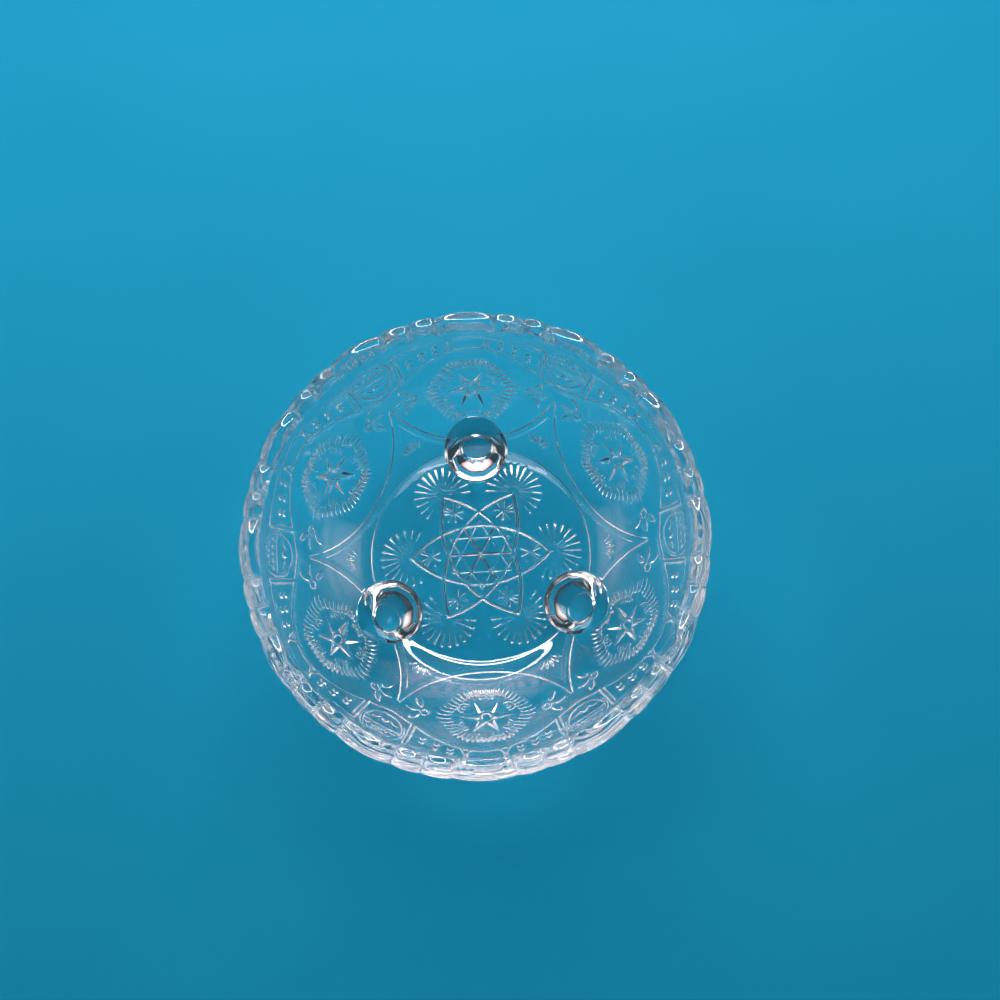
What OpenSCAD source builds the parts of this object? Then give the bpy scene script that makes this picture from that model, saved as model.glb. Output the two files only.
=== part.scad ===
// Footed compote bowl of clear pressed glass. The wall is part of a ball, smooth inside, with raised
// ornament outside. The origin is on the table, under the middle of the bowl, and +Y is the rear foot.

/* [Bowl] */
// Diameter over the scallops of the rim
rim_d = 190; // [170:1:220]
// Height of the rim crests above the table
rim_h = 78; // [70:1:90]
// Diameter of the flat underside
base_d = 100; // [94:1:108]
// Thickness of the wall
wall_t = 5; // [4:0.5:6]
// Thickness of the floor
floor_t = 6; // [4:0.5:8]
// Radius of the round between the floor and the wall, inside
floor_round = 25; // [12:1:32]

/* [Rim] */
// Number of large scallops, each followed by two small ones
large_scallops = 12; // [12:6:18]
// Fall from a large crest to the notch beside it
notch_drop = 1.8; // [1:0.1:3]
// Fall from a large crest to a small one
small_drop = 0.5; // [0.2:0.1:0.9]
// Depth of the flutes, from a large crest in to the notch beside it
flute_depth = 1; // [0.8:0.1:2]
// How far a small scallop stands in from a large one
small_inset = 0.3; // [0.1:0.1:0.6]
// Height of the upright edge of a large scallop, over the ball-shaped wall
edge_h = 2.9; // [2:0.1:5]
// Thickness of the rim, which is heavier than the wall
rim_t = 8.5; // [7:0.5:10]
// Radius of the round along the inner edge of the rim
rim_round = 3; // [2:0.5:4]

/* [Feet] */
// Height of the underside above the table
foot_h = 19; // [14:1:26]
// Distance from the middle of the bowl to the middle of a foot's collar
foot_out = 49; // [45:0.5:52]
// How far a toe stands out past the middle of its collar
toe_shift = 6.5; // [0:0.5:7]
// Diameter of the collar where a foot meets the bowl
foot_top_d = 29.5; // [24:0.5:32]
// Diameter of the toe that stands on the table
toe_d = 15; // [11:0.5:19]
// Height of the round collar below the underside
collar_h = 3; // [2:0.5:6]
// Number of flat panels round a foot
foot_panels = 12; // [8:1:16]

/* [Relief] */
// Height of the raised ornament on the wall
relief_h = 1; // [0.6:0.1:1.5]
// Height of the low plates that carry flowers and buttons
plate_h = 0.4; // [0.2:0.1:0.5]
// Height of the raised ornament under the floor
base_relief_h = 0.8; // [0.5:0.1:1.5]
// Width of the ridges that outline the ornament
ridge_w = 1.6; // [1:0.1:2.4]
// Width of the fine ribs and rays
rib_w = 1; // [0.6:0.1:1.3]
// Width of the round ridge at the edge of the underside
ring_w = 2; // [1.6:0.2:3.2]
// Gap left between the ornament and a foot
foot_gap = 0.2; // [0.1:0.1:0.5]

/* [Flowers and buttons] */
// Gap between the top corners of a flower and the bead band
flower_gap = 2; // [1.6:0.1:3]
// Width of a flower across its side corners
flower_w = 50; // [42:0.5:52]
// Height of a flower between its flat sides
flower_h = 36; // [30:0.5:38]
// Number of ribs in the fringe of a flower
fringe_ribs = 48; // [36:6:54]
// Size of the six-point star across its points
flower_star_d = 23.5; // [19:0.5:25]
// Length of a petal
petal_len = 7.5; // [5.5:0.5:8]
// Diameter of a button
button_d = 20.5; // [17:0.5:22]
// Gap between a button and the ridge that dips under it
button_gap = 1.5; // [1:0.1:3]
// Spacing of the diamond grid on a button
grid_pitch = 2.6; // [2.2:0.1:3.2]

/* [Bands] */
// Plain strip between the flutes of the rim and the bead band
plain_h = 7; // [5:0.1:9]
// Height of the bead band over a flower
band_h = 8.3; // [7:0.1:9.5]
// Fall of its upper ridge from a flower to a button
band_top_fall = 6.1; // [5:0.1:7]
// Fall of its lower ridge from a flower to a button
band_low_fall = 12.9; // [11:0.1:14]
// Further fall of its lower ridge to the middle of a button
band_dip = 2.9; // [2.4:0.1:3.4]
// Diameter of a bead
bead_d = 2.8; // [2:0.1:3]
// Number of double beads each side of a flower
beads_a_side = 3; // [2:1:3]
// Depth, under the dip of the band, of the point where two swags meet
swag_drop = 10; // [9:0.1:12]
// Width of a swag
swag_w = 3.4; // [2.4:0.1:4]
// Least gap between a flower and the swag under it
swag_gap = 4; // [2:0.5:7]
// Depth of the ring of a leaf sprig under the dip of the band
sprig_drop = 6.8; // [6:0.1:7.5]
// Gap between a flower and the ring of a leaf sprig
sprig_gap = 1; // [0.8:0.1:2]
// Diameter of the ring of a leaf sprig
sprig_ring_d = 3.8; // [3.2:0.2:4]
// Length of a leaf
leaf_len = 6.5; // [5:0.5:7]
// Width of a leaf
leaf_w = 2.4; // [1.6:0.1:2.6]
// Distance up the wall from the edge of the underside to the foot of a spandrel fan
spandrel_up = 5.9; // [5:0.1:7]
// Outer radius of a spandrel fan
spandrel_reach = 8; // [6:0.5:8.5]

/* [Base star] */
// Distance from the axis to the point of an oval
oval_tip = 32; // [29:0.5:34]
// Half width of an oval
oval_half_w = 14.3; // [12:0.1:16]
// Distance from the axis to a point of the middle star
star_tip = 15.7; // [13:0.1:17]
// Distance from the axis to the middle of a rosette
rosette_out = 22.8; // [22.4:0.1:23]
// Radius of a rosette
rosette_r = 4.2; // [3.2:0.1:4.3]
// Inner radius of a fan, from the point of its oval
fan_in = 4.5; // [4:0.1:7]
// Outer radius of a fan
fan_out = 12.6; // [10:0.1:13]
// Number of rays in a fan
fan_rays = 13; // [9:2:15]

/* [Hidden] */
$fn = 144;

glass = [0.86, 0.93, 0.95, 0.55];
relief_glass = [0.72, 0.85, 0.90, 0.75];
foot_glass = [0.80, 0.90, 0.93, 0.65];

// The pattern repeats six times round the bowl, and the feet stand under every second flower
repeats = 6;
sector = 360 / repeats;
foot_angles = [90, 210, 330];

// Counts, turns and spreads of the small rays and leaves
rosette_rays = 8;
fan_spread = 230;
spandrel_rays = 5;
spandrel_spread = 90;
spandrel_in = 3;
spandrel_ray_w = 1.4;
leaves = 3;
leaf_spread = 100;
cross_half = 1.2;

// The outside of the wall is a ball round the axis that passes through the edge of the underside and the
// foot of the rim's upright edge. Skim is what the scallops take off the turned rim.
skim = 0.4;
base_r = base_d / 2;
rim_r = rim_d / 2;
mouth_r = rim_r - rim_t;
edge_rise = rim_h - edge_h - foot_h;
ball_rise = (rim_r ^ 2 + edge_rise ^ 2 - base_r ^ 2) / (2 * edge_rise);
ball_r = sqrt(base_r ^ 2 + ball_rise ^ 2);
ball_z = foot_h + ball_rise;

// Inside, a smaller ball on the same centre runs into the flat floor over a round
inner_r = ball_r - wall_t;
floor_z = foot_h + floor_t;
round_z = floor_z + floor_round;
round_x = sqrt((inner_r - floor_round) ^ 2 - (ball_z - round_z) ^ 2);
blend_z = ball_z - (ball_z - round_z) * inner_r / (inner_r - floor_round);

// Scallops: half of each step round the rim is one large scallop, a quarter each is a small one
step = 360 / large_scallops;
large_half = step / 4;
small_half = step / 8;
wedge_lap = 0.2;
notch_r = rim_r - flute_depth;
notch_z = rim_h - notch_drop;
flute_z = ball_z - sqrt(ball_r ^ 2 - notch_r ^ 2);

foot_top_r = foot_top_d / 2;
toe_r = toe_d / 2;
flower_r = flower_w / 2;
star_r = flower_star_d / 2;
button_r = button_d / 2;
fine_gap = rib_w / 2;

// Parts of the flower, the button and the band, as shares of their size
fringe_in_share = 0.74;
corner_share = 0.95;
top_share = 0.42;
star_waist_share = 0.42;
eye_share = 0.3;
petal_out_share = 1.12;
button_rim_share = 0.84;
button_scroll_share = 0.5;
bead_step_share = 0.42;
corner_fall_share = 0.31;

// Length of wall from the edge of the underside up to the flutes, and the length that the ornament takes
// up from its band down to a swag. Where the wall is shorter than that, the ornament is made smaller.
wall_len = (wall_angle(notch_r) - wall_angle(base_r)) * ball_r * PI / 180;
band_len = plain_h + band_h + band_low_fall * corner_fall_share + ridge_w / 2;
drawn_len = band_len + flower_gap + flower_h + swag_gap + swag_w + ring_w / 2;
fit_share = min(1, wall_len / drawn_len);

// Places of the ornament, as angles from straight down at the middle of the ball, worked out from the
// flutes downwards. A drawn length along the wall takes up wall_turn for every millimetre.
wall_turn = fit_share * 180 / (PI * ball_r);
band_top_tilt = wall_angle(notch_r) - plain_h * wall_turn;
band_low_tilt = band_top_tilt - band_h * wall_turn;
band_end_tilt = band_low_tilt - band_low_fall * wall_turn;
dip_tilt = band_end_tilt - band_dip * wall_turn;
button_tilt = dip_tilt + (ridge_w / 2 + button_gap + button_r) * wall_turn;
sprig_tilt = dip_tilt - sprig_drop * wall_turn;
swag_peak = dip_tilt - swag_drop * wall_turn;
spandrel_tilt = wall_angle(base_r) + spandrel_up * wall_turn;

// Azimuths from the middle of a flower: where the band meets a button, a flower's top corner and a sprig
band_end = sector / 2 - asin(fit_share * (button_r + ridge_w) / wall_out(button_tilt));
corner_at = asin(fit_share * flower_r * top_share / wall_out(band_low_tilt));
sprig_from_flower = fit_share * (flower_r * corner_share + sprig_gap + sprig_ring_d / 2);
sprig_at = asin(sprig_from_flower / wall_out(sprig_tilt));
flower_tilt = band_low(corner_at / band_end) - (ridge_w / 2 + flower_gap + flower_h / 2) * wall_turn;

// Centre distance of a scallop's arc that reaches crest_r in its middle and notch_r at its edges
function plan_centre(crest_r, half) = (crest_r ^ 2 - notch_r ^ 2) / (2 * (crest_r - notch_r * cos(half)));

// Radius of an arc of a given half width and rise
function arc_radius(half_w, rise) = (half_w ^ 2 + rise ^ 2) / (2 * rise);

// Angle from straight down, at the middle of the ball, of a point on the wall this far from the axis
function wall_angle(out) = asin(out / ball_r);

// Distance from the axis of a point on the wall at this angle
function wall_out(tilt) = ball_r * sin(tilt);

// Direction from the middle of the ball to a point on the wall
function wall_dir(phi, tilt) = [sin(tilt) * cos(phi), sin(tilt) * sin(phi), -cos(tilt)];

// A share of the way from a flower to a button along the lower and the upper ridge of the band
function band_low(share) = band_low_tilt - band_low_fall * share * wall_turn;
function band_top(share) = band_top_tilt - band_top_fall * share * wall_turn;

function unit(v) = v / norm(v);

// Inside of the bowl as a half profile
module cavity_profile() {
    intersection() {
        translate([0, ball_z]) circle(inner_r);
        translate([0, blend_z]) square([mouth_r, rim_d]);
    }
    difference() {
        translate([0, rim_h - rim_round]) square([mouth_r + rim_round, rim_h]);
        translate([mouth_r + rim_round, rim_h - rim_round]) circle(rim_round);
    }
    intersection() {
        union() {
            translate([0, floor_z]) square([round_x, floor_round]);
            translate([round_x, round_z]) circle(floor_round);
        }
        translate([0, floor_z]) square([rim_d, blend_z - floor_z]);
    }
}

// Half profile of the turned bowl, before the rim is scalloped
module blank_profile() {
    difference() {
        intersection() {
            translate([0, ball_z]) circle(ball_r);
            translate([0, foot_h]) square([rim_r + skim, rim_h + skim - foot_h]);
        }
        cavity_profile();
    }
}

// Ball on the middle of the wall, lying on its side so that its poles are above the rim
module wall_ball(r) {
    translate([0, 0, ball_z]) rotate([90, 0, 0]) sphere(r);
}

// Everything inside the outer face of the bowl, which the feet and ornament are cut to
module bowl_outside() {
    intersection() {
        wall_ball(ball_r);
        translate([0, 0, foot_h]) cylinder(r = rim_d, h = rim_d);
    }
}

// What one scallop cuts from its wedge of the rim: all but an upright arc in plan and a level arc in
// elevation. The wedge is a little wide, so that the cuts of neighbours run through each other.
module scallop_cut(turn, half, crest_r, crest_z) {
    centre = plan_centre(crest_r, half);
    arc_r = arc_radius(notch_r * sin(half), crest_z - notch_z);
    edge = rim_d * tan(half + wedge_lap);
    rotate([0, 0, turn]) difference() {
        translate([0, 0, flute_z - wall_t]) linear_extrude(rim_h) difference() {
            polygon([[0, 0], [rim_d, -edge], [rim_d, edge]]);
            circle(mouth_r - wall_t);
        }
        intersection() {
            translate([centre, 0, 0]) cylinder(r = crest_r - centre, h = rim_d);
            translate([0, 0, crest_z - arc_r]) rotate([0, 90, 0]) cylinder(r = arc_r, h = rim_d);
        }
    }
}

module bowl() {
    color(glass) difference() {
        rotate_extrude() blank_profile();
        for (k = [0 : large_scallops - 1]) {
            scallop_cut(k * step, large_half, rim_r, rim_h);
            for (side = [-1, 1]) {
                turn = (k + 1 / 2) * step + side * small_half;
                scallop_cut(turn, small_half, rim_r - small_inset, rim_h - small_drop);
            }
        }
    }
}

// Round peg foot, cut to the underside and the wall above it. Flat panels run from the toe, which is
// splayed outwards, to an arch each below the collar.
module foot(turn) {
    peg_h = foot_h - collar_h;
    color(foot_glass) difference() {
        rotate([0, 0, turn]) translate([foot_out, 0, 0]) difference() {
            cylinder(r = foot_top_r, h = 2 * foot_h);
            for (k = [0 : foot_panels - 1]) {
                facing = k * 360 / foot_panels;
                reach = toe_r + toe_shift * cos(facing);
                lean = atan((foot_top_r - reach) / peg_h);
                rotate([0, 0, facing]) translate([reach, 0, 0]) rotate([0, lean, 0])
                    translate([0, -foot_top_d, -foot_h]) cube([foot_top_d, 2 * foot_top_d, 4 * foot_h]);
            }
        }
        bowl_outside();
    }
}

// Space that the ornament leaves free for the feet
module foot_space() {
    for (turn = foot_angles)
        rotate([0, 0, turn]) translate([foot_out, 0, 0]) cylinder(r = foot_top_r + foot_gap, h = rim_h);
}

// A layer of the given height on the outside of the wall
module wall_layer(height) {
    difference() {
        wall_ball(ball_r + height);
        wall_ball(ball_r);
        translate([0, 0, foot_h - rim_h]) cylinder(r = rim_d, h = rim_h);
    }
}

// Stands a flat figure on the wall, with its X round the bowl and its Y up the wall
module on_wall(phi, tilt) {
    translate([0, 0, ball_z]) rotate([0, 0, phi]) rotate([0, 180 - tilt, 0]) rotate([0, 0, 90])
        translate([0, 0, ball_r - rim_h / 2]) linear_extrude(rim_h) scale(fit_share) children();
}

// Raised straight ridge between two points of the wall
module wall_ridge(phi_a, tilt_a, phi_b, tilt_b, width) {
    a = wall_dir(phi_a, tilt_a);
    b = wall_dir(phi_b, tilt_b);
    up = unit(a + b);
    along = unit(b - a);
    across = cross(up, along);
    w = width * fit_share;
    len = norm(b - a) * ball_r + w;
    frame = [
        [along.x, across.x, up.x, 0],
        [along.y, across.y, up.y, 0],
        [along.z, across.z, up.z, ball_z]
    ];
    multmatrix(frame) translate([-len / 2, -w / 2, ball_r - wall_t]) cube([len, w, 2 * wall_t]);
}

// Pointed oval between two arcs, lying along X
module pointed_oval(len, width) {
    r = arc_radius(len / 2, width / 2);
    intersection_for (side = [-1, 1]) translate([0, side * (r - width / 2)]) circle(r);
}

// Bar from one radius to another, along X
module ray(from, to, width) {
    translate([from, -width / 2]) square([to - from, width]);
}

// Hexagon with blunted corners that a flower fills, with corners to the left and right
module flower_outline(share) {
    half_w = flower_w / 2 * share;
    half_h = flower_h / 2 * share;
    intersection() {
        polygon([
            [half_w, 0], [half_w * top_share, half_h], [-half_w * top_share, half_h],
            [-half_w, 0], [-half_w * top_share, -half_h], [half_w * top_share, -half_h]
        ]);
        circle(half_w * corner_share);
    }
}

module flower_figure() {
    intersection() {
        difference() {
            flower_outline(1);
            flower_outline(fringe_in_share);
        }
        for (k = [0 : fringe_ribs - 1])
            rotate([0, 0, (k + 1 / 2) * 360 / fringe_ribs]) ray(flower_r / 2, flower_w, rib_w);
    }
    difference() {
        polygon([
            for (k = [0 : 2 * repeats - 1])
                star_r * (k % 2 == 0 ? 1 : star_waist_share) * [cos(k * sector / 2), sin(k * sector / 2)]
        ]);
        circle(star_r * eye_share);
    }
    for (k = [0 : repeats - 1])
        rotate([0, 0, (k + 1 / 2) * sector]) translate([star_r * petal_out_share - petal_len / 2, 0])
            difference() {
                pointed_oval(petal_len, petal_len / 2);
                pointed_oval(petal_len - 3 * rib_w, petal_len / 2 - 3 / 2 * rib_w);
            }
}

module flower(phi) {
    color(relief_glass) difference() {
        union() {
            intersection() {
                wall_layer(plate_h);
                on_wall(phi, flower_tilt) flower_outline(1);
            }
            intersection() {
                wall_layer(relief_h);
                on_wall(phi, flower_tilt) flower_figure();
            }
        }
        foot_space();
    }
}

// Round rim of a button with a bar across it, a diamond grid over the bar and two scrolls below
module button_figure() {
    lines = floor(button_r / grid_pitch);
    face_r = button_r * button_rim_share;
    scroll_r = face_r * button_scroll_share;
    difference() {
        circle(button_r);
        circle(face_r);
    }
    translate([-face_r, -ridge_w / 2]) square([2 * face_r, ridge_w]);
    difference() {
        circle(face_r - fine_gap);
        translate([-button_r, fine_gap + ridge_w / 2 - button_d]) square([button_d, button_d]);
        for (turn = [sector / 2, -sector / 2], k = [-lines : lines])
            rotate([0, 0, turn + 90]) translate([-button_r, k * grid_pitch - fine_gap / 2])
                square([button_d, fine_gap]);
    }
    translate([0, -scroll_r]) {
        circle(rib_w);
        for (side = [-1, 1])
            translate([side * scroll_r, 0]) rotate([0, 0, side * sector / 2])
                pointed_oval(scroll_r, rib_w);
    }
}

module button(phi) {
    color(relief_glass) {
        intersection() {
            wall_layer(plate_h);
            on_wall(phi, button_tilt) circle(button_r);
        }
        intersection() {
            wall_layer(relief_h);
            on_wall(phi, button_tilt) button_figure();
        }
    }
}

// Upper and lower ridges, crosses and double beads of the band, on both sides of every flower
module bead_band() {
    cross_at = sector / 11;
    pitch = (band_end - cross_at) / (beads_a_side + 1);
    color(relief_glass) intersection() {
        wall_layer(relief_h);
        for (k = [0 : repeats - 1], side = [-1, 1]) {
            mid = (k + 1 / 2) * sector;
            end = mid + side * band_end;
            wall_ridge(mid, band_low_tilt, end, band_end_tilt, ridge_w);
            wall_ridge(end, band_end_tilt, mid + side * sector / 2, dip_tilt, ridge_w);
            wall_ridge(mid, band_top_tilt, end, band_top(1), ridge_w);
            wall_ridge(end, band_end_tilt, end, band_top(1), ridge_w);
            for (lean = [-cross_half, cross_half]) {
                low_share = (cross_at - lean) / band_end;
                top_share = (cross_at + lean) / band_end;
                wall_ridge(mid + side * band_end * low_share, band_low(low_share),
                    mid + side * band_end * top_share, band_top(top_share), rib_w);
            }
            for (b = [1 : beads_a_side]) {
                share = (cross_at + b * pitch) / band_end;
                on_wall(mid + side * band_end * share, (band_low(share) + band_top(share)) / 2)
                    for (end = [-1, 1]) translate([0, end * bead_d * bead_step_share]) circle(bead_d / 2);
            }
        }
    }
}

// Swag: part of a ring round a point of the wall above it, hung between two button lines.
// The ring's half angle makes it touch the base ring under the flower and pass through both peaks.
swag_foot = wall_angle(base_r + ring_w / 2 + fit_share * swag_w / 2);
swag_x = cos(swag_peak) - cos(swag_foot);
swag_y = sin(swag_peak) * cos(sector / 2) - sin(swag_foot);
swag_mid = atan2(-swag_x, swag_y);
swag_reach = ball_r * sin(swag_mid - swag_foot) / fit_share;
swag_top_z = ball_z - ball_r * cos(swag_peak) + swag_w;

// One sixth of the plan, along X
module sector_wedge() {
    polygon([
        [0, 0],
        rim_d * [cos(sector / 2), -sin(sector / 2)],
        rim_d * [cos(sector / 2), sin(sector / 2)]
    ]);
}

module swags() {
    color(relief_glass) difference() {
        intersection() {
            wall_layer(relief_h);
            for (k = [0 : repeats - 1]) intersection() {
                on_wall((k + 1 / 2) * sector, swag_mid) difference() {
                    circle(swag_reach + swag_w / 2);
                    circle(swag_reach - swag_w / 2);
                }
                rotate([0, 0, (k + 1 / 2) * sector]) linear_extrude(swag_top_z) sector_wedge();
            }
        }
        foot_space();
    }
}

module base_ring() {
    color(relief_glass) difference() {
        rotate_extrude() difference() {
            translate([base_r, foot_h]) circle(ring_w / 2);
            intersection() {
                translate([0, ball_z]) circle(ball_r);
                translate([0, foot_h]) square([rim_d, rim_d]);
            }
        }
        foot_space();
    }
}

// Short rays spread evenly over an angle about X, each a pointed oval
module ray_fan(count, spread, from, to, width) {
    for (k = [0 : count - 1])
        rotate([0, 0, (k / (count - 1) - 1 / 2) * spread]) translate([(from + to) / 2, 0])
            pointed_oval(to - from, width);
}

// Small fan of cuts over the base ring, in each space between two swags
module spandrel_fans() {
    color(relief_glass) intersection() {
        wall_layer(relief_h);
        for (k = [0 : repeats - 1])
            on_wall(k * sector, spandrel_tilt) rotate([0, 0, 90])
                ray_fan(spandrel_rays, spandrel_spread, spandrel_in, spandrel_reach, spandrel_ray_w);
    }
}

// Sprig each side of a button: a small ring, and three leaves that spread from it towards the button
module leaf_sprigs() {
    ring_r = sprig_ring_d / 2;
    from = ring_r + fine_gap;
    turn = sector / 2 - sprig_at;
    color(relief_glass) intersection() {
        wall_layer(relief_h);
        for (k = [0 : repeats - 1], side = [-1, 1])
            on_wall(k * sector + side * turn, sprig_tilt) rotate([0, 0, 90 + side * 90]) {
                difference() {
                    circle(ring_r);
                    circle(ring_r - fine_gap);
                }
                ray_fan(leaves, leaf_spread, from, from + leaf_len, leaf_w);
            }
    }
}

// Raises a flat figure under the floor, clear of the feet
module under_floor() {
    color(relief_glass) difference() {
        translate([0, 0, foot_h - base_relief_h]) linear_extrude(base_relief_h) children();
        foot_space();
    }
}

// Outline of a pointed oval, with even width
module oval_ridge(len, width, ridge) {
    r = arc_radius(len / 2, width / 2);
    difference() {
        pointed_oval(len, width);
        intersection_for (side = [-1, 1]) translate([0, side * (r - width / 2)]) circle(r - ridge);
    }
}

// Three crossing ovals, and in their middle a six-point star of straight ridges
module base_star() {
    chord = 2 * star_tip * sin(sector);
    under_floor() {
        for (k = [0 : repeats / 2 - 1])
            rotate([0, 0, k * sector]) {
                oval_ridge(2 * oval_tip, 2 * oval_half_w, ridge_w);
                ray(-star_tip, star_tip, rib_w);
            }
        for (k = [0 : repeats - 1])
            rotate([0, 0, (k + 1 / 2) * sector]) translate([star_tip / 2 - rib_w / 2, -chord / 2])
                square([rib_w, chord]);
    }
}

module base_fans() {
    under_floor() for (k = [0 : repeats - 1])
        rotate([0, 0, k * sector]) translate([oval_tip, 0])
            ray_fan(fan_rays, fan_spread, fan_in, fan_out, rib_w);
}

module base_rosettes() {
    under_floor() for (k = [0 : repeats - 1])
        rotate([0, 0, k * sector]) translate([rosette_out, 0]) {
            circle(rib_w);
            for (turn = [0 : 360 / rosette_rays : 359])
                rotate([0, 0, turn]) translate([rosette_r / 2, 0]) pointed_oval(rosette_r, rib_w);
        }
}

bowl();
foot(foot_angles[0]);  // foot_rear
foot(foot_angles[1]);  // foot_left
foot(foot_angles[2]);  // foot_right
base_ring();
base_star();
base_fans();
base_rosettes();
swags();
spandrel_fans();
leaf_sprigs();
bead_band();
flower(90);  // flower_rear
flower(150);  // flower_rear_left
flower(210);  // flower_front_left
flower(270);  // flower_front
flower(330);  // flower_front_right
flower(30);  // flower_rear_right
button(0);  // button_right
button(60);  // button_rear_right
button(120);  // button_rear_left
button(180);  // button_left
button(240);  // button_front_left
button(300);  // button_front_right
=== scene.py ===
"""Clear pressed-glass compote bowl on three peg feet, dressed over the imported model.

The bowl and all its raised ornament are one closed glass mesh, because the real one is one pressing. Each
foot is a closed mesh of its own. Where a foot joins the bowl, both meshes have a see-through weld face, so
light runs from one to the other as in solid glass.
"""
import logging
import math
from dataclasses import dataclass, field
from enum import Enum

import bpy
import numpy as np
from bpy.types import Material, Node, NodeSocket, NodeTree, Object
from mathutils import Euler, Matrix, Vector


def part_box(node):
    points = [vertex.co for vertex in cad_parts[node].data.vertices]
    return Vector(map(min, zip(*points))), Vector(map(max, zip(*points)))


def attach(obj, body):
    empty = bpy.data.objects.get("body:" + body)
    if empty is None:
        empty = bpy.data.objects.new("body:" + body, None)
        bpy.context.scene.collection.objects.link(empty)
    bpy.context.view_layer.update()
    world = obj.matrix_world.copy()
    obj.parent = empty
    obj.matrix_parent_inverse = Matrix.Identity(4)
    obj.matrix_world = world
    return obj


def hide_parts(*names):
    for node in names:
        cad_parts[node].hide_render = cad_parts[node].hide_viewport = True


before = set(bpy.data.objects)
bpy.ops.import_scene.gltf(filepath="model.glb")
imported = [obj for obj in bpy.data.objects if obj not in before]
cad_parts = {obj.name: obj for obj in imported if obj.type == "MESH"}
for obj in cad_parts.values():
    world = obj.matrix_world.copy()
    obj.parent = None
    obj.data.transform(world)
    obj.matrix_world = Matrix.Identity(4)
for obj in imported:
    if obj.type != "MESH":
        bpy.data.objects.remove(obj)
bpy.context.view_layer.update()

BODY = "root"
MM = 0.001
LOG = logging.getLogger("compote")

Array = np.ndarray
Pair = tuple[float, float]
Triple = tuple[float, float, float]
REPEATS = 6
SECTOR = math.radians(360 / REPEATS)
BUTTON_AT = 180 / REPEATS


class Slot(Enum):
    """Material slots of the record, whose names the two glass materials also bear."""

    BOWL = "bowl_glass"
    FOOT = "foot_glass"


def ramp(x: Array, low: float, high: float) -> Array:
    """Smooth step: 0 up to the low value, 1 from the high value on, and an S curve between them."""
    t = np.clip((x - low) / (high - low), 0, 1)
    return t * t * (3 - 2 * t)


def roof(distance: Array, half_width: float) -> Array:
    """Straight-sided ridge: 1 on its line, falling evenly to 0 at the half width."""
    return np.clip(1 - np.abs(distance) / half_width, 0, 1)


def bow(distance: Array, half_width: float) -> Array:
    """Low rounded band: 1 on its line, falling in a bow to 0 at the half width."""
    return np.clip(1 - (distance / half_width) ** 2, 0, 1)


def dome(distance: Array, radius: float) -> Array:
    """Round bead: 1 in its middle and 0 at its radius."""
    return np.sqrt(bow(distance, radius))


def wave(turns: Array) -> Array:
    """Even zig-zag: 1 at whole numbers and 0 half-way between them."""
    return np.abs(2 * (turns - np.floor(turns)) - 1)


def fold(angle: Array, period: float) -> Array:
    """Angle from the nearest multiple of the period."""
    return angle - period * np.round(angle / period)


def highest(*reliefs: Array) -> Array:
    """Highest of several reliefs at each point."""
    return np.maximum.reduce(reliefs)


def turned(x: Array, y: Array, angle: float) -> tuple[Array, Array]:
    """Coordinates along and across a direction at this angle from X."""
    return x * math.cos(angle) + y * math.sin(angle), y * math.cos(angle) - x * math.sin(angle)


def unit(angle: Array, azimuth: Array) -> Array:
    """Unit vectors at an angle from straight down and an azimuth."""
    flat = np.sin(angle)
    return np.stack([flat * np.cos(azimuth), flat * np.sin(azimuth), -np.cos(angle)], axis=-1)


def oval_depth(x: Array, y: Array, length: float, width: float) -> Array:
    """Depth inside a pointed oval between two arcs, lying along X.

    Args:
        x: Place along the oval, from its middle.
        y: Place across it.
        length: Length between its points.
        width: Width in its middle.

    Returns:
        Distance inside the nearer arc, negative outside.
    """
    arc = ((length / 2) ** 2 + (width / 2) ** 2) / width
    return arc - np.hypot(x, np.abs(y) + arc - width / 2)


@dataclass(frozen=True)
class Fan:
    """Rays that spread evenly about X, over an angle in degrees, between two distances from a point."""

    count: int
    spread: float
    start: float
    end: float

    def nearest(self, x: Array, y: Array) -> tuple[Array, Array]:
        """Coordinates along and across the ray that is nearest to each place.

        Args:
            x: Place along the middle of the fan.
            y: Place across it.

        Returns:
            Distance along that ray and distance across it.
        """
        step = math.radians(self.spread) / (self.count - 1)
        half = math.radians(self.spread) / 2
        angle = np.arctan2(y, x)
        ray = np.clip(np.round((angle + half) / step), 0, self.count - 1) * step - half
        reach = np.hypot(x, y)
        return reach * np.cos(angle - ray), reach * np.sin(angle - ray)

    def leaves(self, x: Array, y: Array, width: float) -> Array:
        """Depth inside the nearest ray, where each is a pointed oval of this width."""
        along, across = self.nearest(x, y)
        return oval_depth(along - (self.start + self.end) / 2, across, self.end - self.start, width)

    def ridges(self, x: Array, y: Array, half_width: float, taper: float = 1.0) -> Array:
        """Straight-sided ridges along the rays.

        Args:
            x: Place along the middle of the fan.
            y: Place across it.
            half_width: Half of the width of a ridge at its outer end.
            taper: Width and height of its inner end, as a share of those of the outer end.

        Returns:
            1 on the middle line of a ridge at its outer end, falling evenly to 0 at its edge.
        """
        along, across = self.nearest(x, y)
        past = np.maximum(np.maximum(self.start - along, along - self.end), 0)
        size = taper + (1 - taper) * np.clip((along - self.start) / (self.end - self.start), 0, 1)
        return size * roof(np.hypot(across, past), half_width * size)


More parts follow.
